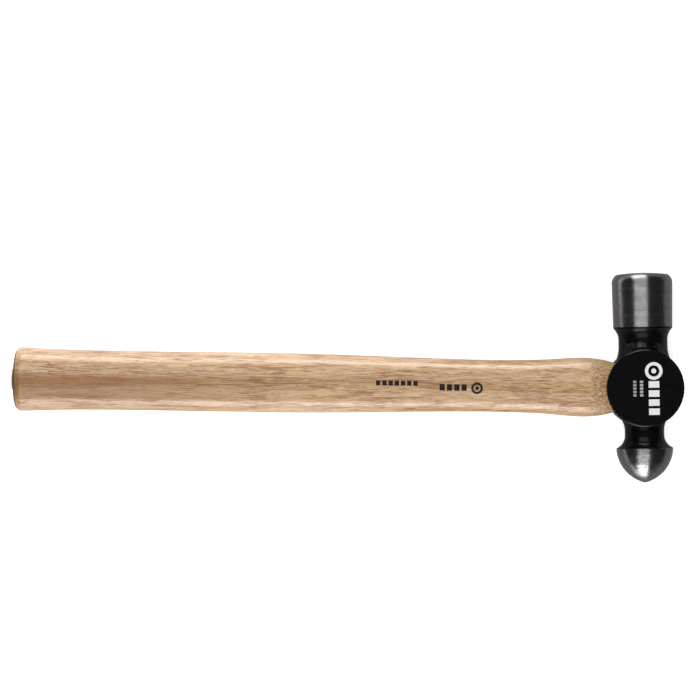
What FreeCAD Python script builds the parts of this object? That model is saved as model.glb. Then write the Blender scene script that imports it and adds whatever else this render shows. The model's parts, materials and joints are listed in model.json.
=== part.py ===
"""Ball peen hammer, lying on its side: forged steel head on a hickory handle, held by wedges.

+X runs from the grip to the head, +Y from the ball peen to the poll, +Z out of the upper cheek.
The origin is under the middle of the hammer, on the surface that it lies on.
"""
import FreeCAD, Part
import math
import os

from FreeCAD import Vector

# ---- head: radii are from its own axis, lengths are along it, in mm ----
POLL_LENGTH = 21.8          # ground steel from the base to the middle of the striking face
POLL_RADIUS = 12.3          # at the striking end
POLL_BASE_RADIUS = 11.95    # the poll tapers a little towards its base
POLL_BASE_ROUND = 1.6       # forged edge under the base
POLL_BASE_ROUND_DROP = 1.3
FACE_RADIUS = 10.3          # crowned face inside the rounded edge
FACE_CROWN = 0.65
FACE_EDGE_ROUND = 4.05
POLL_NECK_RADIUS = 9.9
POLL_NECK_STRAIGHT = 2.8    # between the two hollows of the neck
POLL_NECK_SWEEP = 6.1       # hollow between the poll's base and its neck
POLL_NECK_FLARE = 14.2      # hollow between the neck and the round cheek body

BALL_LENGTH = 13.7          # ball peen from its rim to its tip
BALL_RADIUS = 11.5          # at the rim
BALL_RIM_LEAN = 0.75        # the ball's arc would be widest this far above the rim
PEEN_RIM_ROUND = 0.5
PEEN_RIM_DROP = 0.45
PEEN_NECK_RADIUS = 7.95
PEEN_NECK_STRAIGHT = 1.7
PEEN_NECK_SWEEP = 5.6
PEEN_NECK_FLARE = 9.1

CHEEK_RADIUS = 15.6         # round body about the eye
CHEEK_THICKNESS = 21.3      # from cheek to cheek
CHEEK_COVER = 0.55          # metal between a flat cheek and the flares hidden under it
CHEEK_COVER_INSET = 1.0     # the flares are thinned up to this far inside the cheek's rim
PEEN_CHEEK_FILLET = 1.0     # in the corner between the peen's neck and the round body
CHEEK_CHAMFER = 0.5
FLARE_BITE = 0.4            # the flares of both necks end this far inside the round body

# ---- eye: an hourglass oval, narrowest in the middle ----
EYE_WIDTH = 19.0            # along the head, at the waist
EYE_DEPTH = 12.4            # from cheek to cheek, at the waist
EYE_MOUTH_FLARE = 0.8       # added to both at the handle's side
EYE_TOP_FLARE = 1.7         # added to both at the far side, where the wedges spread the wood
FIT_CLEARANCE = 0.05        # between the tenon and the eye, all round
HANG_ANGLE = 1.8            # the grip leans this many degrees towards the poll

# ---- handle ----
HANDLE_REACH = 255.2        # from the middle of the eye to the domed end, without its pad
# shoulder: (distance past the head's side, added to the eye's mouth width, added to its depth)
ENTRY = (-4.5, -0.6, -0.2)
SHOULDER_EDGE = (1.1, 2.6, 2.2)
SHOULDER = (8.2, 4.0, 3.9)
SHOULDER_BACK = (20.8, 2.7, 3.6)
WAIST_DISTANCE = 44.6       # past the head's side
# shaft: (share of the way from the waist to the domed end, width along the head, depth)
WAIST = (0.0, 21.0, 16.2)
WAIST_BACK = (0.2, 22.3, 17.3)
SWELL = (0.42, 23.9, 18.8)
GRIP = (0.68, 23.8, 18.9)
BUTT = (0.97, 25.5, 20.3)
BUTT_DOME = 56.6            # radius of the domed end
BUTT_ROUND = 2.9            # rounding where the dome meets the side
PAD_WIDTH = 8.1             # small flat left on the end by the lathe
PAD_DEPTH = 6.5
PAD_HEIGHT = 0.35

# ---- wedges: the wooden one lies along the eye, the steel ones go across it ----
END_RECESS = 0.3            # wood and wedges are dressed this far inside the head's round body
KERF_WIDTH = 1.2
KERF_PAST_WEDGE = 3.0       # saw cut left open beyond the wooden wedge's tip
WOOD_WEDGE_THICKNESS = 3.4  # at the far end
WOOD_WEDGE_LENGTH = 20.0
STEEL_WEDGE_THICKNESS = 2.4
STEEL_WEDGE_TIP = 0.4
STEEL_WEDGE_WIDTH = 9.0
STEEL_WEDGE_LENGTH = 13.3
STEEL_WEDGE_SPACING = 9.5   # middle to middle

AXIS_X = Vector(1, 0, 0)
AXIS_Y = Vector(0, 1, 0)
AXIS_Z = Vector(0, 0, 1)
ORIGIN = Vector(0, 0, 0)
TENON_OVERLAP = 2.5         # the tenon is built this far into the handle before they are joined


def arc_between(start, end, radius, centre_side):
    """Arc of a given radius; centre_side is +1 when its centre lies left of start to end."""
    chord = end - start
    half = chord.Length / 2
    across = Vector(-chord.y, chord.x, 0).normalize() * centre_side
    middle = (start + end) * 0.5
    centre = middle + across * math.sqrt(radius ** 2 - half ** 2)
    return Part.Arc(start, centre - across * radius, end).toShape()


def line(start, end):
    return Part.LineSegment(start, end).toShape()


def flare_height(neck_radius, flare_radius):
    """Height at which a hollow of flare_radius leaves the neck so that it runs into the cheek body."""
    reach = CHEEK_RADIUS - FLARE_BITE + flare_radius
    return math.sqrt(reach ** 2 - (neck_radius + flare_radius) ** 2)


def flare_end(neck_radius, flare_radius):
    """Point where that hollow ends, just inside the round cheek body."""
    centre = Vector(neck_radius + flare_radius, flare_height(neck_radius, flare_radius), 0)
    return centre * ((CHEEK_RADIUS - FLARE_BITE) / centre.Length)


def poll_outline():
    """Half outline from the striking face down to the cheek body: X is radius, Y is height."""
    neck_low = Vector(POLL_NECK_RADIUS, flare_height(POLL_NECK_RADIUS, POLL_NECK_FLARE), 0)
    neck_top = neck_low + AXIS_Y * POLL_NECK_STRAIGHT
    base_inset = POLL_BASE_ROUND - math.sqrt(POLL_BASE_ROUND ** 2 - POLL_BASE_ROUND_DROP ** 2)
    sweep_radius = POLL_BASE_RADIUS - base_inset
    sweep_inset = POLL_NECK_RADIUS + POLL_NECK_SWEEP - sweep_radius
    sweep_height = neck_top.y + math.sqrt(POLL_NECK_SWEEP ** 2 - sweep_inset ** 2)
    sweep_top = Vector(sweep_radius, sweep_height, 0)
    base = Vector(POLL_BASE_RADIUS, sweep_height + POLL_BASE_ROUND_DROP, 0)
    top = Vector(0, base.y + POLL_LENGTH, 0)
    face_edge = Vector(FACE_RADIUS, top.y - FACE_CROWN, 0)
    crown_radius = (FACE_RADIUS ** 2 + FACE_CROWN ** 2) / (2 * FACE_CROWN)
    side_top = Vector(POLL_RADIUS, top.y - FACE_EDGE_ROUND, 0)
    flare_low = flare_end(POLL_NECK_RADIUS, POLL_NECK_FLARE)
    return [
        arc_between(top, face_edge, crown_radius, -1),
        arc_between(face_edge, side_top, FACE_EDGE_ROUND, -1),
        line(side_top, base),
        arc_between(base, sweep_top, POLL_BASE_ROUND, -1),
        arc_between(sweep_top, neck_top, POLL_NECK_SWEEP, 1),
        line(neck_top, neck_low),
        arc_between(neck_low, flare_low, POLL_NECK_FLARE, 1),
    ]


def peen_outline():
    """The same for the peen, from its tip up to the cheek body, with heights still positive."""
    neck_top = Vector(PEEN_NECK_RADIUS, flare_height(PEEN_NECK_RADIUS, PEEN_NECK_FLARE), 0)
    neck_low = neck_top + AXIS_Y * PEEN_NECK_STRAIGHT
    rim_radius = BALL_RADIUS - PEEN_RIM_ROUND / 2
    sweep_inset = PEEN_NECK_RADIUS + PEEN_NECK_SWEEP - rim_radius
    sweep_height = neck_low.y + math.sqrt(PEEN_NECK_SWEEP ** 2 - sweep_inset ** 2)
    rim_top = Vector(rim_radius, sweep_height, 0)
    rim_low = Vector(BALL_RADIUS, sweep_height + PEEN_RIM_DROP, 0)
    tip = Vector(0, rim_low.y + BALL_LENGTH, 0)
    tip_height = BALL_LENGTH + BALL_RIM_LEAN
    centre_x = (BALL_RADIUS ** 2 + BALL_RIM_LEAN ** 2 - tip_height ** 2) / (2 * BALL_RADIUS)
    ball_curve = math.hypot(centre_x, tip_height)
    return [
        arc_between(tip, rim_low, ball_curve, -1),
        arc_between(rim_low, rim_top, PEEN_RIM_ROUND, -1),
        arc_between(rim_top, neck_low, PEEN_NECK_SWEEP, 1),
        line(neck_low, neck_top),
        arc_between(neck_top, flare_end(PEEN_NECK_RADIUS, PEEN_NECK_FLARE), PEEN_NECK_FLARE, 1),
    ]


def turned_half(outline):
    """Solid turned about the head's axis from an outline that ends at the cheek body."""
    axis_end = outline[0].Vertexes[0].Point
    inner_end = outline[-1].Vertexes[-1].Point
    closing = [
        line(inner_end, Vector(inner_end.x, 0, 0)),
        line(Vector(inner_end.x, 0, 0), ORIGIN),
        line(ORIGIN, axis_end),
    ]
    wire = Part.Wire(Part.__sortEdges__(outline + closing))
    return Part.Face(wire).revolve(ORIGIN, AXIS_Y, 360)


def make_turned_body():
    """Poll, necks and ball peen as one turned body, thinned where the cheeks cover it."""
    peen = turned_half(peen_outline())
    peen.rotate(ORIGIN, AXIS_X, 180)
    turned = turned_half(poll_outline()).fuse(peen)
    web_half = CHEEK_THICKNESS / 2 - CHEEK_COVER
    side = 2 * (CHEEK_RADIUS - CHEEK_COVER_INSET)
    for base_z in (web_half, -web_half - side):
        corner = Vector(-side / 2, -side / 2, base_z)
        turned = turned.cut(Part.makeBox(side, side, side, corner))
    return turned


def make_cheek_body():
    """Round body about the eye, flat on both cheeks, with a small chamfer on each rim."""
    half = CHEEK_THICKNESS / 2
    body = Part.makeCylinder(CHEEK_RADIUS, CHEEK_THICKNESS, Vector(0, 0, -half), AXIS_Z)
    rims = [edge for edge in body.Edges if isinstance(edge.Curve, Part.Circle)]
    return body.makeChamfer(CHEEK_CHAMFER, rims)


def oval(distance, width, depth):
    """Oval wire across the handle's axis, at a distance from the eye towards the grip."""
    centre = Vector(-distance, 0, 0)
    curve = Part.Ellipse(centre + AXIS_Y * (width / 2), centre + AXIS_Z * (depth / 2), centre)
    return Part.Wire(curve.toShape())


def make_eye_plug(clearance, grip_end):
    """Solid that fills the eye, less a clearance all round, out to grip_end on the handle's side."""
    far_end = CHEEK_RADIUS + TENON_OVERLAP
    width = EYE_WIDTH - 2 * clearance
    depth = EYE_DEPTH - 2 * clearance
    ovals = [
        oval(-far_end, width + EYE_TOP_FLARE, depth + EYE_TOP_FLARE),
        oval(0, width, depth),
        oval(grip_end, width + EYE_MOUTH_FLARE, depth + EYE_MOUTH_FLARE),
    ]
    return Part.makeLoft(ovals, True)


def hung(shape):
    """The shape turned about the eye by the hang, from the handle's axis to the head's."""
    turned = shape.copy()
    turned.rotate(ORIGIN, AXIS_Z, -HANG_ANGLE)
    return turned


def is_peen_corner(edge):
    """True for the edge where the peen's neck meets the wall of the round body."""
    box = edge.BoundBox
    return box.YMax < 0 and abs(box.YMin + CHEEK_RADIUS) < CHEEK_CHAMFER / 2


def make_head():
    body = make_cheek_body().fuse(make_turned_body()).removeSplitter()
    corner = [edge for edge in body.Edges if is_peen_corner(edge)]
    body = body.makeFillet(PEEN_CHEEK_FILLET, corner)
    eye = hung(make_eye_plug(0, CHEEK_RADIUS + TENON_OVERLAP))
    return body.cut(eye)


def shaft_ovals():
    """Ovals of the handle outside the head, from inside its shoulder to beyond its domed end."""
    mouth_width = EYE_WIDTH + EYE_MOUTH_FLARE
    mouth_depth = EYE_DEPTH + EYE_MOUTH_FLARE
    ovals = []
    for past_head, more_width, more_depth in (ENTRY, SHOULDER_EDGE, SHOULDER, SHOULDER_BACK):
        ovals.append(oval(CHEEK_RADIUS + past_head, mouth_width + more_width, mouth_depth + more_depth))
    waist_at = CHEEK_RADIUS + WAIST_DISTANCE
    for share, width, depth in (WAIST, WAIST_BACK, SWELL, GRIP, BUTT):
        ovals.append(oval(waist_at + share * (HANDLE_REACH - waist_at), width, depth))
    butt_width, butt_depth = BUTT[1:]
    ovals.append(oval(HANDLE_REACH + 2 * BUTT_ROUND, butt_width, butt_depth))
    return ovals


def make_grip(head):
    """The handle outside the head, from its shoulder to the domed end and its pad."""
    shaft = Part.makeLoft(shaft_ovals(), True)
    dome_centre = Vector(-(HANDLE_REACH - BUTT_DOME), 0, 0)
    dome = Part.makeSphere(BUTT_DOME, dome_centre)
    side = 2 * HANDLE_REACH
    towards_head = Part.makeBox(side, side, side, Vector(dome_centre.x, -side / 2, -side / 2))
    shaft = shaft.common(dome.fuse(towards_head))
    butt_half_width = BUTT[1] / 2
    dome_drop = BUTT_DOME - math.sqrt(BUTT_DOME ** 2 - butt_half_width ** 2)
    end_limit = -HANDLE_REACH + dome_drop + BUTT_ROUND
    end_edges = [edge for edge in shaft.Edges if edge.BoundBox.XMax < end_limit]
    shaft = shaft.makeFillet(BUTT_ROUND, end_edges)
    pad_face = Part.Face(oval(HANDLE_REACH + PAD_HEIGHT, PAD_WIDTH, PAD_DEPTH))
    shaft = shaft.fuse(pad_face.extrude(AXIS_X * (BUTT_ROUND + PAD_HEIGHT)))
    wall = Part.makeCylinder(CHEEK_RADIUS, 2 * CHEEK_THICKNESS, Vector(0, 0, -CHEEK_THICKNESS), AXIS_Z)
    return hung(shaft).cut(wall).cut(head)


def make_tenon():
    """The wood inside the eye, dressed to follow the round body at the far side."""
    plug = hung(make_eye_plug(FIT_CLEARANCE, CHEEK_RADIUS + TENON_OVERLAP))
    dressed = CHEEK_RADIUS - END_RECESS
    round_end = Part.makeCylinder(dressed, 2 * CHEEK_THICKNESS, Vector(0, 0, -CHEEK_THICKNESS), AXIS_Z)
    reach = 2 * CHEEK_RADIUS
    grip_half = Part.makeBox(reach, 2 * reach, 2 * reach, Vector(-reach, -reach, -reach))
    return plug.common(round_end.fuse(grip_half))


def taper(length, thick, tip, width, upright):
    """Wedge pointing along -X from the head's far side; upright ones are thick along Y."""
    far_end = CHEEK_RADIUS + TENON_OVERLAP
    tip_x = CHEEK_RADIUS - length
    slope = (thick - tip) / (2 * length)
    far_half = thick / 2 + slope * (far_end - CHEEK_RADIUS)
    corners = [
        Vector(tip_x, -tip / 2, -width / 2),
        Vector(far_end, -far_half, -width / 2),
        Vector(far_end, far_half, -width / 2),
        Vector(tip_x, tip / 2, -width / 2),
    ]
    wedge = Part.Face(Part.makePolygon(corners + [corners[0]])).extrude(AXIS_Z * width)
    if not upright:
        wedge.rotate(ORIGIN, AXIS_X, 90)
    return hung(wedge)


def make_wood_wedge(tenon):
    across = 2 * EYE_WIDTH
    slab = taper(WOOD_WEDGE_LENGTH, WOOD_WEDGE_THICKNESS, KERF_WIDTH, across, False)
    return slab.common(tenon)


def make_steel_wedge(tenon, side):
    """Steel wedge across the wooden one; side is +1 towards the poll and -1 towards the peen."""
    wedge = taper(STEEL_WEDGE_LENGTH, STEEL_WEDGE_THICKNESS, STEEL_WEDGE_TIP, STEEL_WEDGE_WIDTH, True)
    offset = Vector(0, side * STEEL_WEDGE_SPACING / 2, 0)
    wedge.translate(offset)
    return wedge.common(tenon)


def make_kerf():
    """What is left of the saw cut beyond the wooden wedge."""
    tip_x = CHEEK_RADIUS - WOOD_WEDGE_LENGTH
    across = 2 * EYE_WIDTH
    corner = Vector(tip_x - KERF_PAST_WEDGE, -across / 2, -KERF_WIDTH / 2)
    return hung(Part.makeBox(KERF_PAST_WEDGE, across, KERF_WIDTH, corner))


def make_parts():
    head = make_head()
    tenon = make_tenon()
    steel = {
        "steel_wedge_poll_side": make_steel_wedge(tenon, 1),
        "steel_wedge_peen_side": make_steel_wedge(tenon, -1),
    }
    steel_pair = Part.makeCompound(list(steel.values()))
    full_wood_wedge = make_wood_wedge(tenon)
    handle = make_grip(head).fuse(tenon).cut(full_wood_wedge).cut(make_kerf()).cut(steel_pair)
    return {
        "head": head,
        "handle": handle,
        "wooden_wedge": full_wood_wedge.cut(steel_pair),
        **steel,
    }


def main():
    parts = make_parts()
    box = Part.makeCompound(list(parts.values())).optimalBoundingBox(False)
    to_origin = Vector(-box.Center.x, -box.Center.y, -box.ZMin)
    os.makedirs("parts", exist_ok=True)
    for node, shape in parts.items():
        solid = shape.Solids[0] if len(shape.Solids) == 1 else shape
        solid.translate(to_origin)
        solid.exportStep("parts/" + node + ".step")
        print(node, solid.ShapeType, solid.isValid(), "volume", round(solid.Volume, 1), "mm3")
    print("eye centre", [round(value, 3) for value in to_origin])
    print("size", round(box.XLength, 2), round(box.YLength, 2), round(box.ZLength, 2))


main()
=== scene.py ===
"""Ball peen hammer on a pale studio floor: lacquered and ground steel, lacquered hickory."""
import json
import logging
import math
from dataclasses import dataclass
from enum import Enum
from typing import Any, Mapping, Optional, Sequence, Union

import bmesh
import bpy
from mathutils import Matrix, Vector


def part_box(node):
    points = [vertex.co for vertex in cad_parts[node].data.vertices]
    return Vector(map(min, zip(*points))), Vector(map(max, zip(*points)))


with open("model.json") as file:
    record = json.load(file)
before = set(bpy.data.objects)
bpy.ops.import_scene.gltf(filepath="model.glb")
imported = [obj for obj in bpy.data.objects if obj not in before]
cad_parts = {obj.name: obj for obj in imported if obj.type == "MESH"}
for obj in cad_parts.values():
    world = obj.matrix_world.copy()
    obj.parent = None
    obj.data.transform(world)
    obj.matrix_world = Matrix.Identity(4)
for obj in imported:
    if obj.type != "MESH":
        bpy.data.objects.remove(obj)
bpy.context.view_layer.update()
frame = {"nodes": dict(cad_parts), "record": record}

log = logging.getLogger("ball_peen_hammer")

MM = 0.001
PER_METRE = 1000.0
Colour = tuple[float, float, float, float]
Settings = Mapping[str, Any]
Stops = Sequence[tuple[float, Colour]]

# Sockets of the Mix node that share their names, by number.
MIX_FACTOR = 0
VECTOR_A, VECTOR_B = 4, 5
COLOUR_A, COLOUR_B = 6, 7
COLOUR_RESULT = 2


class Maths(str, Enum):
    """Operations of the Math node that the finishes use."""

    ADD = "ADD"
    SUBTRACT = "SUBTRACT"
    MULTIPLY = "MULTIPLY"
    DIVIDE = "DIVIDE"
    POWER = "POWER"
    MAXIMUM = "MAXIMUM"
    ABSOLUTE = "ABSOLUTE"
    FRACT = "FRACT"
    GREATER_THAN = "GREATER_THAN"


class Tree:
    """The node tree of one material."""

    def __init__(self, name: str) -> None:
        """Starts an empty material.

        Args:
            name: the material's name.
        """
        self.material = bpy.data.materials.new(name)
        self.material.use_nodes = True
        self.nodes = self.material.node_tree.nodes
        self.links = self.material.node_tree.links
        self.nodes.clear()

    def node(self, kind: str, settings: Optional[Settings] = None,
             sockets: Optional[Mapping[Union[str, int], Any]] = None) -> bpy.types.Node:
        """Adds one node.

        Args:
            kind: the node's type, without the ShaderNode in front.
            settings: its own settings, set before its sockets.
            sockets: values or links for its inputs, by name or number.

        Returns:
            The new node.
        """
        made = self.nodes.new("ShaderNode" + kind)
        for name, value in (settings or {}).items():
            if name == "stops":
                self._set_stops(made.color_ramp, value)
            else:
                setattr(made, name, value)
        for name, value in (sockets or {}).items():
            if isinstance(value, Line):
                self.links.new(value.socket, made.inputs[name])
            else:
                made.inputs[name].default_value = value
        return made

    @staticmethod
    def _set_stops(ramp: bpy.types.ColorRamp, stops: Stops) -> None:
        """Gives a colour ramp its stops.

        Args:
            ramp: the ramp of a new Color Ramp node.
            stops: pairs of position and colour, in order.
        """
        while len(ramp.elements) < len(stops):
            ramp.elements.new(1.0)
        for element, (position, colour) in zip(ramp.elements, stops):
            element.position = position
            element.color = colour

    def line(self, kind: str, output: str, settings: Optional[Settings] = None,
             sockets: Optional[Mapping[Union[str, int], Any]] = None) -> "Line":
        """Adds a node and returns one of its outputs, ready for sums."""
        return Line(self, self.node(kind, settings, sockets).outputs[output])

    def place(self, centre: Vector, turn: float = 0.0) -> "Line":
        """Object coordinates in millimetres, centred on a point and turned about Z.

        Args:
            centre: the point that becomes zero, in metres.
            turn: the angle of the turn, in radians.

        Returns:
            The coordinates as a vector.
        """
        object_point = self.line("TexCoord", "Object")
        centred = self.line("Mapping", "Vector", {"vector_type": "POINT"},
                            {"Vector": object_point, "Location": -centre})
        return self.line("Mapping", "Vector", {"vector_type": "POINT"},
                         {"Vector": centred, "Rotation": (0, 0, turn), "Scale": (PER_METRE,) * 3})

    def split(self, vector: "Line") -> tuple["Line", "Line", "Line"]:
        """The three parts of a vector."""
        parts = self.node("SeparateXYZ", sockets={"Vector": vector})
        return tuple(Line(self, parts.outputs[axis]) for axis in "XYZ")

    def join(self, x: Any, y: Any, z: Any) -> "Line":
        """A vector from three parts."""
        return self.line("CombineXYZ", "Vector", sockets={"X": x, "Y": y, "Z": z})

    def ramp(self, value: "Line", stops: Stops) -> "Line":
        """A colour read from a ramp."""
        return self.line("ValToRGB", "Color", {"stops": stops}, {"Fac": value})

    def blend(self, factor: Any, first: Any, second: Any) -> "Line":
        """Two colours mixed; a factor of 1 gives the second."""
        mixed = self.node("Mix", {"data_type": "RGBA"},
                          {MIX_FACTOR: factor, COLOUR_A: first, COLOUR_B: second})
        return Line(self, mixed.outputs[COLOUR_RESULT])

    def vectors(self, operation: str, *terms: "Line") -> "Line":
        """One Vector Math node over these vectors."""
        return self.line("VectorMath", "Vector", {"operation": operation}, dict(enumerate(terms)))

    def bump(self, height: "Line", normal: Optional["Line"] = None) -> "Line":
        """A normal with relief, whose height is in millimetres.

        Args:
            height: the relief.
            normal: the normal below it, or None for the surface's own.

        Returns:
            The new normal.
        """
        sockets = {"Strength": 1.0, "Distance": MM, "Height": height}
        if normal is not None:
            sockets["Normal"] = normal
        return self.line("Bump", "Normal", sockets=sockets)

    def shader(self, sockets: Mapping[str, Any]) -> "Line":
        """A Principled shader with these values or links."""
        return self.line("BsdfPrincipled", "BSDF", sockets=sockets)

    def finish(self, surface: "Line") -> bpy.types.Material:
        """Ends the material with its surface shader and returns it."""
        self.node("OutputMaterial", sockets={"Surface": surface})
        return self.material


class Line:
    """One output socket of a node, on which sums are written as Python expressions."""

    def __init__(self, tree: Tree, socket: bpy.types.NodeSocket) -> None:
        """Wraps a socket.

        Args:
            tree: the tree that the socket's node is in.
            socket: the output socket.
        """
        self.tree = tree
        self.socket = socket

    def _maths(self, operation: Maths, first: Any, second: Any = 0.0) -> "Line":
        """Adds one Math node to the tree."""
        return self.tree.line("Math", "Value", {"operation": operation.value},
                              {0: first, 1: second})

    def __add__(self, other: Any) -> "Line":
        """The sum of the two."""
        return self._maths(Maths.ADD, self, other)

    __radd__ = __add__

    def __sub__(self, other: Any) -> "Line":
        """This less the other."""
        return self._maths(Maths.SUBTRACT, self, other)

    def __rsub__(self, other: Any) -> "Line":
        """The other less this."""
        return self._maths(Maths.SUBTRACT, other, self)

    def __mul__(self, other: Any) -> "Line":
        """The product of the two."""
        return self._maths(Maths.MULTIPLY, self, other)

    __rmul__ = __mul__

    def __truediv__(self, other: Any) -> "Line":
        """This over the other."""
        return self._maths(Maths.DIVIDE, self, other)

    def __pow__(self, other: Any) -> "Line":
        """This to the power of the other."""
        return self._maths(Maths.POWER, self, other)

    def __neg__(self) -> "Line":
        """This with its sign turned."""
        return self._maths(Maths.SUBTRACT, 0.0, self)

    def __abs__(self) -> "Line":
        """The size without the sign."""
        return self._maths(Maths.ABSOLUTE, self)

    def most(self, other: Any) -> "Line":
        """The larger of the two."""
        return self._maths(Maths.MAXIMUM, self, other)

    def over(self, limit: Any) -> "Line":
        """1 where this is greater than the limit, else 0."""
        return self._maths(Maths.GREATER_THAN, self, limit)

    def turn_part(self) -> "Line":
        """What is left of this after whole numbers."""
        return self._maths(Maths.FRACT, self)


@dataclass(frozen=True)
class Pattern:
    """Noise over coordinates in millimetres, with its features in a millimetre each way."""

    per_mm: tuple[float, float, float]
    detail: float
    roughness: float = 0.5
    distortion: float = 0.0

    def noise(self, point: Line) -> Line:
        """The noise at a point.

        Args:
            point: the coordinates in millimetres.

        Returns:
            The noise, between 0 and 1.
        """
        stretched = point.tree.line("Mapping", "Vector", {"vector_type": "POINT"},
                                    {"Vector": point, "Scale": self.per_mm})
        return point.tree.line("TexNoise", "Fac", {"noise_dimensions": "3D"}, {
            "Vector": stretched, "Scale": 1.0, "Detail": self.detail,
            "Roughness": self.roughness, "Distortion": self.distortion})


@dataclass(frozen=True)
class Step:
    """A passage from one value to another while something goes from low to high, held outside."""

    low: float
    high: float
    first: float = 0.0
    last: float = 1.0
    smooth: bool = True

    def along(self, value: Line) -> Line:
        """The passage.

        Args:
            value: what goes from low to high.

        Returns:
            The first value below low, the last above high.
        """
        return value.tree.line("MapRange", "Result",
                               {"interpolation_type": "SMOOTHSTEP" if self.smooth else "LINEAR"},
                               {"Value": value, "From Min": self.low, "From Max": self.high,
                                "To Min": self.first, "To Max": self.last})


@dataclass(frozen=True)
class Row:
    """A row of plain printed blocks: its middle, size and pitch in millimetres, and its ink."""

    middle: tuple[float, float]
    length: float
    height: float
    pitch: float
    strength: float = 1.0
    block_share: float = 0.72

    def ink(self, along: Line, across: Line) -> Line:
        """Where the row's ink is.

        Args:
            along: distance along the line of print.
            across: distance across it.

        Returns:
            The row's strength on its blocks and 0 off them.
        """
        u = along - self.middle[0]
        v = across - self.middle[1]
        inside = (1 - abs(u).over(self.length / 2)) * (1 - abs(v).over(self.height / 2))
        gap = ((u + self.length / 2) / self.pitch).turn_part().over(self.block_share)
        return inside * (1 - gap) * self.strength


@dataclass(frozen=True)
class Mark:
    """A printed mark: a ring with a dot in it, and rows of plain blocks, in millimetres."""

    ring_at: tuple[float, float]
    ring_radius: float
    ring_width: float
    dot_radius: float
    rows: tuple[Row, ...]

    def ink(self, along: Line, across: Line) -> Line:
        """Where the mark's ink is.

        Args:
            along: distance along the line of print.
            across: distance across it.

        Returns:
            1 on full ink and 0 off it.
        """
        u = along - self.ring_at[0]
        v = across - self.ring_at[1]
        distance = (u * u + v * v) ** 0.5
        ring = 1 - abs(distance - self.ring_radius).over(self.ring_width / 2)
        ink = ring.most(1 - distance.over(self.dot_radius))
        for row in self.rows:
            ink = ink.most(row.ink(along, across))
        return ink


MOTTLE = Pattern((0.55, 0.55, 0.55), detail=4.0, roughness=0.6)


@dataclass(frozen=True)
class SteelFinish:
    """Bare ground steel with fine turned lines; heights are millimetres from the eye."""

    face_start: float
    dark: Colour = (0.17, 0.17, 0.175, 1.0)
    light: Colour = (0.28, 0.276, 0.275, 1.0)
    lines: Pattern = Pattern((0.05, 40.0, 0.05), detail=1.0)
    streaks: Pattern = Pattern((0.5, 3.2, 0.5), detail=2.0)
    grit: Pattern = Pattern((2.6, 2.6, 2.6), detail=3.0, roughness=0.7)
    mottle: Pattern = MOTTLE
    barrel_tilt: float = 2.9
    tilt: float = 1.5
    face_margin: float = 4.5
    axis_fade: Step = Step(0.4, 1.4)
    mottle_share: float = 0.3
    grit_share: float = 0.3
    streak_share: float = 0.4
    tone: Step = Step(0.36, 0.64)
    roughness: Step = Step(0.3, 0.7, first=0.15, last=0.25)
    grit_relief: float = 0.012
    streak_relief: float = 0.003

    def shader(self, tree: Tree, point: Line) -> Line:
        """Adds the steel to a tree.

        Args:
            tree: the head's tree.
            point: millimetres from the middle of the eye, with the head's axis along Y.

        Returns:
            The shader.
        """
        across, along, up = tree.split(point)
        from_axis = (across * across + up * up) ** 0.5
        on_face = along.over(self.face_start)
        stepped = tree.join(across, along + on_face * (from_axis - along), up)
        streaks = self.streaks.noise(stepped)
        grit = self.grit.noise(point)
        slope = (self.lines.noise(stepped) - 0.5) * self._depth(along, from_axis)
        outward = tree.vectors("NORMALIZE", tree.join(across, 0.0, up))
        direction = tree.line("Mix", "Result", {"data_type": "VECTOR"}, {
            MIX_FACTOR: on_face, VECTOR_A: (0, 1, 0), VECTOR_B: outward})
        tilt = tree.line("VectorMath", "Vector", {"operation": "SCALE"},
                         {0: direction, "Scale": slope})
        turned = tree.vectors("ADD", tree.line("NewGeometry", "Normal"), tilt)
        turned = tree.vectors("NORMALIZE", turned)
        tone = (self.mottle.noise(point) * self.mottle_share + grit * self.grit_share
                + streaks * self.streak_share)
        return tree.shader({
            "Base Color": tree.blend(self.tone.along(tone), self.dark, self.light),
            "Metallic": 1.0,
            "Roughness": self.roughness.along(grit),
            "Normal": tree.bump(grit * self.grit_relief + streaks * self.streak_relief, turned),
        })

    def _depth(self, along: Line, from_axis: Line) -> Line:
        """How far the turned lines tilt the surface: most on the barrel, none at the axis.

        Args:
            along: height along the head's axis.
            from_axis: distance from it.

        Returns:
            The greatest tilt.
        """
        barrel_end = Step(self.face_start - self.face_margin,
                          self.face_start - self.face_margin / 2, first=1.0, last=0.0)
        barrel = along.over(0.0) * barrel_end.along(along)
        depth = barrel * (self.barrel_tilt - self.tilt) + self.tilt
        return depth * self.axis_fade.along(from_axis)


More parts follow.
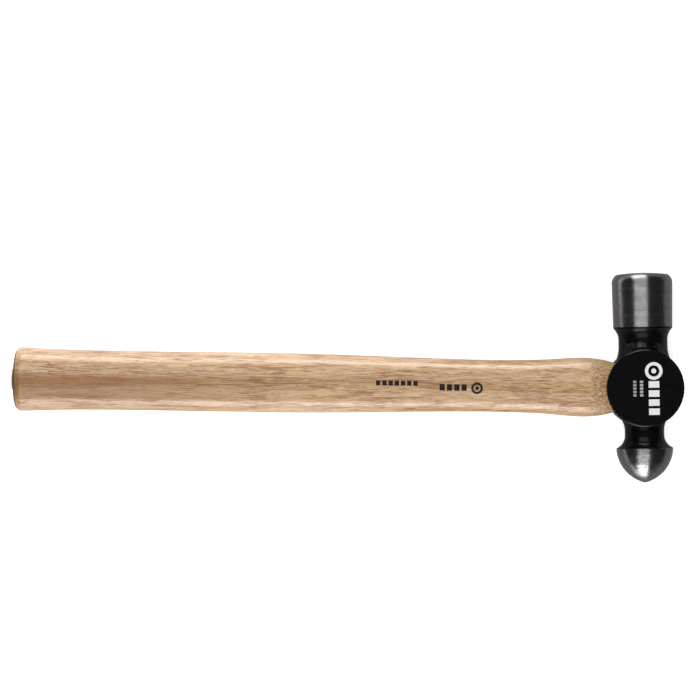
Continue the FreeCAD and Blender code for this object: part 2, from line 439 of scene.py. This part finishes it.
@dataclass(frozen=True)
class LacquerFinish:
    """Black lacquer with a slight orange peel; lengths are millimetres from the eye."""

    cheek_radius: float
    cheek_face: float
    mark: Mark
    black: Colour = (0.0035, 0.0035, 0.004, 1.0)
    white_ink: Colour = (0.97, 0.97, 0.96, 1.0)
    peel: Pattern = Pattern((1.1, 1.1, 1.1), detail=1.0)
    peel_relief: float = 0.006
    mottle: Pattern = MOTTLE
    roughness: Step = Step(0.3, 0.7, first=0.20, last=0.27)
    ink_roughness: float = 0.2
    specular: float = 0.15
    draft: float = 1.7
    draft_gap: float = 1.0
    draft_width: float = 2.4
    draft_top: Step = Step(6.0, 9.0)
    rim: float = 0.12
    rim_width: float = 0.55
    rim_depth: float = 1.0

    def shader(self, tree: Tree, point: Line) -> Line:
        """Adds the lacquer and the printed mark on the upper cheek to a tree.

        Args:
            tree: the head's tree.
            point: millimetres from the middle of the eye, with the head's axis along Y.

        Returns:
            The shader.
        """
        across, along, up = tree.split(point)
        ink = self.mark.ink(-along, across) * up.over(self.cheek_face)
        relief = self.peel.noise(point) * self.peel_relief + self._edges(across, along, up)
        return tree.shader({
            "Base Color": tree.blend(ink, self.black, self.white_ink),
            "Roughness": self.roughness.along(self.mottle.noise(point)) + ink * self.ink_roughness,
            "Specular IOR Level": self.specular,
            "Normal": tree.bump(relief),
        })

    def _edges(self, across: Line, along: Line, up: Line) -> Line:
        """Relief of the forging's draft beside the cheek and of the softened cheek rim.

        Args:
            across: distance across the head from the eye.
            along: distance along it.
            up: height above its axis.

        Returns:
            The relief.
        """
        from_eye = (across * across + along * along) ** 0.5
        draft_start = self.cheek_radius + self.draft_gap
        draft = Step(draft_start, draft_start + self.draft_width, first=self.draft, last=0.0,
                     smooth=False)
        rim = Step(self.cheek_radius - self.rim_width, self.cheek_radius, last=self.rim,
                   smooth=False)
        beside = draft.along(from_eye) * self.draft_top.along(up) * along.over(0.0)
        return beside + rim.along(from_eye) * up.over(self.cheek_face - self.rim_depth)


@dataclass(frozen=True)
class HickoryFinish:
    """Lacquered hickory with its grain along the handle; lengths are millimetres from the eye."""

    reach: float
    mark: Mark
    stops: tuple[tuple[float, Colour], ...] = (
        (0.35, (0.42, 0.215, 0.09, 1)),
        (0.45, (0.63, 0.375, 0.175, 1)),
        (0.55, (0.74, 0.465, 0.235, 1)),
        (0.66, (0.90, 0.64, 0.39, 1)),
    )
    black_ink: Colour = (0.010, 0.009, 0.008, 1.0)
    pore: Colour = (0.40, 0.16, 0.045, 1.0)
    heart: Colour = (0.38, 0.165, 0.048, 1.0)
    torn: Colour = (0.95, 0.74, 0.48, 1.0)
    end_grain: Colour = (0.20, 0.10, 0.045, 1.0)
    slow: Pattern = Pattern((0.012, 0.10, 0.10), detail=2.0, roughness=0.62)
    fine: Pattern = Pattern((0.04, 0.8, 0.8), detail=5.0, roughness=0.62)
    flecks: Pattern = Pattern((0.11, 3.0, 3.0), detail=2.0, roughness=0.62)
    fibres: Pattern = Pattern((0.16, 3.2, 3.2), detail=3.0, roughness=0.62)
    pits: Pattern = Pattern((0.28, 3.8, 3.8), detail=1.0, roughness=0.62)
    patches: Pattern = Pattern((0.04, 0.3, 0.3), detail=2.0, roughness=0.62)
    dots: Pattern = Pattern((0.2, 2.2, 2.2), detail=2.0, roughness=0.62)
    rasp: Pattern = Pattern((1.2, 1.5, 1.5), detail=2.0, roughness=0.6, distortion=1.5)
    fine_share: float = 0.42
    slow_share: float = 0.25
    fibre_share: float = 0.33
    heart_start: float = 0.55
    heart_drift: float = 60.0
    heart_low: float = 2.8
    heart_edge: Step = Step(2.0, 9.0)
    heart_strength: float = 0.8
    fleck_patches: float = 0.5
    fleck_step: Step = Step(0.83, 0.87)
    pit_patches: float = 0.2
    pit_step: Step = Step(0.68, 0.74)
    pit_strength: float = 0.6
    pore_strength: float = 0.85
    shoulder_drift: float = 6.0
    shoulder_step: Step = Step(-19.0, -17.0)
    cut: Step = Step(0.40, 0.52, first=0.85, last=0.0)
    tear: Step = Step(0.52, 0.62, first=0.0, last=0.7)
    end_step: Step = Step(0.62, 0.85)
    end_strength: Step = Step(0.45, 0.6, first=0.7, last=0.95)
    print_wear: Step = Step(0.2, 0.3, first=0.9, last=1.0)
    fine_relief: float = 0.12
    fibre_relief: float = 0.22
    pore_relief: float = 0.12
    rasp_relief: float = 0.5
    roughness: Step = Step(0.3, 0.7, first=0.36, last=0.48)
    end_roughness: float = 0.3
    specular: float = 0.25
    coat_in_pores: float = 0.6
    coat_on_ink: float = 0.95
    coat_roughness: float = 0.32
    coat_ior: float = 1.6

    def shader(self, tree: Tree, point: Line) -> Line:
        """Adds the wood and the printed mark on its upper side to a tree.

        Args:
            tree: the handle's tree.
            point: millimetres from the middle of the eye, with the handle along X.

        Returns:
            The shader.
        """
        along, across, up = tree.split(point)
        slow = self.slow.noise(point)
        fine = self.fine.noise(point)
        flecks = self.flecks.noise(point)
        fibres = self.fibres.noise(point)
        rasp = self.rasp.noise(point)
        tone = fine * self.fine_share + slow * self.slow_share + fibres * self.fibre_share
        pores = self._pores(point, flecks)
        near_head = self.shoulder_step.along(along + slow * self.shoulder_drift)
        end = self.end_step.along(abs(tree.split(tree.line("TexCoord", "Normal"))[0]))
        ink = self.mark.ink(along, across) * up.over(0.0)
        dots = self.dots.noise(point)
        heart = self._heartwood(along, across, slow)
        wood = tree.blend(heart, tree.ramp(tone, self.stops), self.heart)
        wood = tree.blend(pores * self.pore_strength, wood, self.pore)
        wood = tree.blend(near_head * self.cut.along(rasp), wood, self.pore)
        wood = tree.blend(near_head * self.tear.along(rasp), wood, self.torn)
        wood = tree.blend(end * self.end_strength.along(dots), wood, self.end_grain)
        wood = tree.blend(ink * self.print_wear.along(flecks), wood, self.black_ink)
        relief = (fine * self.fine_relief + fibres * self.fibre_relief - pores * self.pore_relief
                  + near_head * rasp * self.rasp_relief)
        coat = (1 - pores * self.coat_in_pores) * (1 - ink * self.coat_on_ink) * (1 - end)
        return tree.shader({
            "Base Color": wood,
            "Roughness": self.roughness.along(fine) + end * self.end_roughness,
            "Specular IOR Level": self.specular,
            "Coat Weight": coat,
            "Coat Roughness": self.coat_roughness,
            "Coat IOR": self.coat_ior,
            "Normal": tree.bump(relief),
        })

    def _pores(self, point: Line, flecks: Line) -> Line:
        """Where the wood's long and short pores are.

        Args:
            point: the coordinates in millimetres.
            flecks: the noise of the long pores.

        Returns:
            1 in a long pore and 0 in clean wood.
        """
        patches = self.patches.noise(point)
        long_pores = self.fleck_step.along(flecks + patches * self.fleck_patches)
        short_pores = self.pit_step.along(self.pits.noise(point) + patches * self.pit_patches)
        return long_pores.most(short_pores * self.pit_strength)

    def _heartwood(self, along: Line, across: Line, slow: Line) -> Line:
        """How much browner heart shows, in a band towards the butt.

        Args:
            along: distance along the handle, negative towards the butt.
            across: distance across it.
            slow: slow noise that makes the band's start wander.

        Returns:
            The share of the heart's colour.
        """
        start = Step(self.reach * self.heart_start, self.reach)
        side = 1 - self.heart_edge.along(abs(across + self.heart_low))
        return start.along(-along + slow * self.heart_drift) * side * self.heart_strength


@dataclass(frozen=True)
class PlainFinish:
    """A simple finish with a little grain, for the wedges and the floor."""

    name: str
    dark: Colour
    light: Colour
    metallic: float = 0.0
    roughness: float = 0.5
    grain_per_mm: float = 1.5
    grain_detail: float = 4.0
    grain_roughness: float = 0.6
    grain_relief: float = 0.03
    glow: float = 0.0

    def material(self) -> bpy.types.Material:
        """Builds the material.

        Returns:
            The material.
        """
        tree = Tree(self.name)
        pattern = Pattern((self.grain_per_mm,) * 3, self.grain_detail, self.grain_roughness)
        grain = pattern.noise(tree.place(Vector((0, 0, 0))))
        return tree.finish(tree.shader({
            "Base Color": tree.blend(grain, self.dark, self.light),
            "Metallic": self.metallic,
            "Roughness": self.roughness,
            "Normal": tree.bump(grain * self.grain_relief),
            "Emission Color": (1, 1, 1, 1),
            "Emission Strength": self.glow,
        }))


@dataclass
class SubAssembly:
    """Pieces of the hammer that are made and finished together."""

    eye: Vector

    def give(self, node: str, material: bpy.types.Material) -> None:
        """Puts a finish on one piece and reports it.

        Args:
            node: the piece's name.
            material: the material for all its slots.
        """
        for slot in frame["nodes"][node].material_slots:
            slot.material = material
        low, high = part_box(node)
        size = " x ".join(f"{(b - a) * PER_METRE:.1f}" for a, b in zip(low, high))
        log.info("%s: %s mm, finished in %s", node, size, material.name)


@dataclass
class Head(SubAssembly):
    """The forged head; its sizes are millimetres from the middle of the eye along its axis."""

    poll_base: float = 24.75
    peen_rim: float = 24.35
    face_start: float = 45.8
    cheek_radius: float = 15.6
    cheek_face: float = 10.4
    edge_wander: float = 0.08
    edge: Pattern = Pattern((0.9, 0.9, 0.9), detail=3.0)
    mark: Mark = Mark(
        ring_at=(-6.9, 3.3), ring_radius=2.9, ring_width=1.3, dot_radius=1.0,
        rows=(Row(middle=(4.1, 3.3), length=13.8, height=4.3, pitch=3.65),
              Row(middle=(0.2, -1.7), length=6.6, height=1.3, pitch=1.35, strength=0.5),
              Row(middle=(0.2, -4.4), length=6.6, height=1.3, pitch=1.35, strength=0.4)))

    def dress(self) -> None:
        """Lacquers the forging black and leaves the poll and the ball peen bare."""
        tree = Tree("head_lacquer_and_ground_steel")
        point = tree.place(self.eye)
        along = tree.split(point)[1]
        wander = self.edge.noise(point) * (2 * self.edge_wander) - self.edge_wander
        bare_poll = (along + wander).over(self.poll_base)
        bare_peen = (wander - along).over(self.peen_rim)
        steel = SteelFinish(self.face_start).shader(tree, point)
        lacquer = LacquerFinish(self.cheek_radius, self.cheek_face, self.mark).shader(tree, point)
        surface = tree.line("MixShader", "Shader", sockets={
            0: bare_poll.most(bare_peen), 1: lacquer, 2: steel})
        self.give("head", tree.finish(surface))


@dataclass
class Handle(SubAssembly):
    """The hickory handle, from the eye to the middle of its butt."""

    butt: Vector
    mark: Mark = Mark(
        ring_at=(-67.7, -1.0), ring_radius=1.9, ring_width=0.95, dot_radius=0.75,
        rows=(Row(middle=(-77.3, -0.8), length=11.0, height=2.6, pitch=2.95),
              Row(middle=(-100.0, 0.6), length=16.8, height=2.0, pitch=2.5)))

    def dress(self) -> None:
        """Gives the wood its grain, its print and its clear coat."""
        grip = self.butt - self.eye
        tree = Tree("handle_lacquered_hickory")
        point = tree.place(self.eye, math.atan2(grip.y, -grip.x))
        wood = HickoryFinish(grip.length * PER_METRE, self.mark)
        self.give("handle", tree.finish(wood.shader(tree, point)))


@dataclass
class Wedging(SubAssembly):
    """The wooden wedge in the tenon's saw cut and the two steel wedges across it."""

    wood: PlainFinish = PlainFinish("wedge_dark_wood", (0.22, 0.12, 0.06, 1), (0.42, 0.26, 0.14, 1),
                                    grain_per_mm=2.5)
    steel: PlainFinish = PlainFinish("wedge_bare_steel", (0.25, 0.25, 0.26, 1), (0.5, 0.5, 0.5, 1),
                                     metallic=1.0, roughness=0.35)

    def dress(self) -> None:
        """Finishes the three wedges."""
        self.give("wooden_wedge", self.wood.material())
        steel = self.steel.material()
        self.give("steel_wedge_poll_side", steel)
        self.give("steel_wedge_peen_side", steel)


@dataclass(frozen=True)
class SoftBox:
    """A soft box at one side: the angles in degrees that it fills above the floor, its light."""

    name: str
    side: int
    low: float
    high: float
    half_angle: float
    shift: float
    radiance: float


@dataclass(frozen=True)
class FloorCard:
    """A bright card that lies on the floor beside the hammer."""

    name: str
    side: int
    near: float
    far: float
    middle: float
    length: float
    radiance: float


@dataclass(frozen=True)
class StageFloor:
    """A round floor: what it is seen by, its tone, glow and level."""

    name: str
    seen: bool
    tone: float
    glow: float
    level: float


@dataclass
class Studio:
    """Floor, backdrop, lights and camera; lengths in metres."""

    centre: Vector
    floor_radius: float = 4.0
    floor_sides: int = 96
    floor_grain: float = 0.2
    tone_spread: float = 0.03
    backdrop_radius: float = 4.4
    backdrop_sides: tuple[int, int] = (64, 32)
    backdrop_grey: Colour = (0.1, 0.1, 0.1, 1)
    floors: tuple[StageFloor, ...] = (
        StageFloor("floor", seen=True, tone=0.8, glow=0.75, level=-0.0002),
        StageFloor("floor_bounce", seen=False, tone=0.45, glow=0.0, level=-0.0006),
    )
    light_distance: float = 0.9
    soft_boxes: tuple[SoftBox, ...] = (
        SoftBox("soft_box_poll_side", side=1, low=1.5, high=20.0, half_angle=17.0, shift=-0.01,
                radiance=9.6),
        SoftBox("soft_box_peen_side", side=-1, low=1.0, high=20.0, half_angle=16.0, shift=-0.01,
                radiance=9.2),
        SoftBox("strip_box_poll_side", side=1, low=40.0, high=76.0, half_angle=23.0, shift=-0.03,
                radiance=2.3),
        SoftBox("strip_box_peen_side", side=-1, low=40.0, high=76.0, half_angle=23.0, shift=-0.03,
                radiance=2.3),
    )
    cards: tuple[FloorCard, ...] = (
        FloorCard("card_poll_side", side=1, near=0.022, far=0.30, middle=-0.085, length=0.25,
                  radiance=1.3),
        FloorCard("card_peen_side", side=-1, near=0.022, far=0.30, middle=-0.095, length=0.23,
                  radiance=0.95),
        FloorCard("card_ball_end", side=-1, near=0.09, far=0.50, middle=0.10, length=0.06,
                  radiance=4.5),
    )
    card_level: float = 0.0002
    room_glow: float = 0.05
    camera_place: tuple[float, float, float] = (0.00143, 0.01321, 1.5123)
    camera_turn: float = -0.97
    lens: float = 190.7
    sensor: float = 36.0
    sight: float = 20.0

    def add_stage(self, name: str, shape: bmesh.types.BMesh, finish: PlainFinish,
                  seen: bool) -> None:
        """Puts a piece of the stage in the scene.

        Args:
            name: its name.
            shape: its mesh, which is freed.
            finish: its finish.
            seen: True for what the camera sees, False for what only throws light back.
        """
        mesh = bpy.data.meshes.new(name)
        shape.to_mesh(mesh)
        shape.free()
        mesh.materials.append(finish.material())
        piece = bpy.data.objects.new(name, mesh)
        bpy.context.scene.collection.objects.link(piece)
        piece.visible_camera = seen
        piece.visible_diffuse = not seen
        piece.visible_glossy = not seen
        piece.visible_shadow = not seen
        log.info("%s: laid", name)

    def build_floor(self) -> None:
        """Lays the pale floor and the backdrop behind it."""
        for floor in self.floors:
            shape = bmesh.new()
            bmesh.ops.create_circle(shape, cap_ends=True, segments=self.floor_sides,
                                    radius=self.floor_radius)
            bmesh.ops.translate(shape, verts=shape.verts, vec=(0, 0, floor.level))
            dark = (floor.tone,) * 3 + (1,)
            light = (floor.tone + self.tone_spread,) * 3 + (1,)
            white = PlainFinish(floor.name + "_white", dark, light, roughness=1.0,
                                grain_per_mm=self.floor_grain, glow=floor.glow)
            self.add_stage(floor.name, shape, white, floor.seen)
        shape = bmesh.new()
        bmesh.ops.create_uvsphere(shape, u_segments=self.backdrop_sides[0],
                                  v_segments=self.backdrop_sides[1], radius=self.backdrop_radius)
        bmesh.ops.reverse_faces(shape, faces=shape.faces)
        white = PlainFinish("backdrop_white", self.backdrop_grey, self.backdrop_grey, roughness=1.0,
                            glow=1.0)
        self.add_stage("backdrop", shape, white, True)

    def add_light(self, name: str, place: Vector, aim: Vector, size: tuple[float, float],
                  radiance: float) -> None:
        """Hangs one evenly bright rectangle of light.

        Args:
            name: the light's name.
            place: where its middle is, in metres.
            aim: the direction that it faces.
            size: its width and height, in metres.
            radiance: how bright its cloth is.
        """
        data = bpy.data.lights.new(name, "AREA")
        data.shape = "RECTANGLE"
        data.size, data.size_y = size
        data.energy = radiance * math.pi * size[0] * size[1]
        lamp = bpy.data.objects.new(name, data)
        bpy.context.scene.collection.objects.link(lamp)
        lamp.location = place
        lamp.rotation_mode = "QUATERNION"
        lamp.rotation_quaternion = aim.to_track_quat("-Z", "Y")
        log.info("%s: hung", name)

    def build_lights(self) -> None:
        """Low soft boxes on the poll's side and the peen's side, cards, and a dim room."""
        for box in self.soft_boxes:
            middle = math.radians((box.low + box.high) / 2)
            height = 2 * self.light_distance * math.tan(math.radians((box.high - box.low) / 2))
            width = 2 * self.light_distance * math.tan(math.radians(box.half_angle))
            out = Vector((0, box.side * math.cos(middle), math.sin(middle)))
            place = self.centre + self.light_distance * out + Vector((box.shift, 0, 0))
            self.add_light(box.name, place, -out, (width, height), box.radiance)
        for card in self.cards:
            place = Vector((card.middle, card.side * (card.near + card.far) / 2, self.card_level))
            self.add_light(card.name, place, Vector((0, 0, 1)), (card.length, card.far - card.near),
                           card.radiance)
        world = bpy.data.worlds.new("studio")
        bpy.context.scene.world = world
        world.use_nodes = True
        background = world.node_tree.nodes["Background"]
        background.inputs["Color"].default_value = (1, 1, 1, 1)
        background.inputs["Strength"].default_value = self.room_glow

    def build_camera(self) -> None:
        """Looks straight down on the hammer, with its handle across the picture."""
        data = bpy.data.cameras.new("camera")
        data.sensor_width = self.sensor
        data.lens = self.lens
        data.clip_end = self.sight
        camera = bpy.data.objects.new("camera", data)
        bpy.context.scene.collection.objects.link(camera)
        camera.location = self.camera_place
        camera.rotation_euler = (0, 0, math.radians(self.camera_turn))
        bpy.context.scene.camera = camera
        bpy.context.scene.view_settings.view_transform = "Standard"


def main() -> None:
    """Builds and dresses everything in order."""
    logging.basicConfig(level=logging.INFO, format="%(message)s")
    mounts = {mount["name"]: Vector(mount["pos_m"]) for mount in frame["record"]["mounts"]}
    eye = (mounts["cheek_upper"] + mounts["cheek_lower"]) / 2
    Head(eye).dress()
    Handle(eye, mounts["butt_end"]).dress()
    Wedging(eye).dress()
    studio = Studio(Vector((0, 0, eye.z)))
    studio.build_floor()
    studio.build_lights()
    studio.build_camera()


if __name__ == "__main__":
    main()
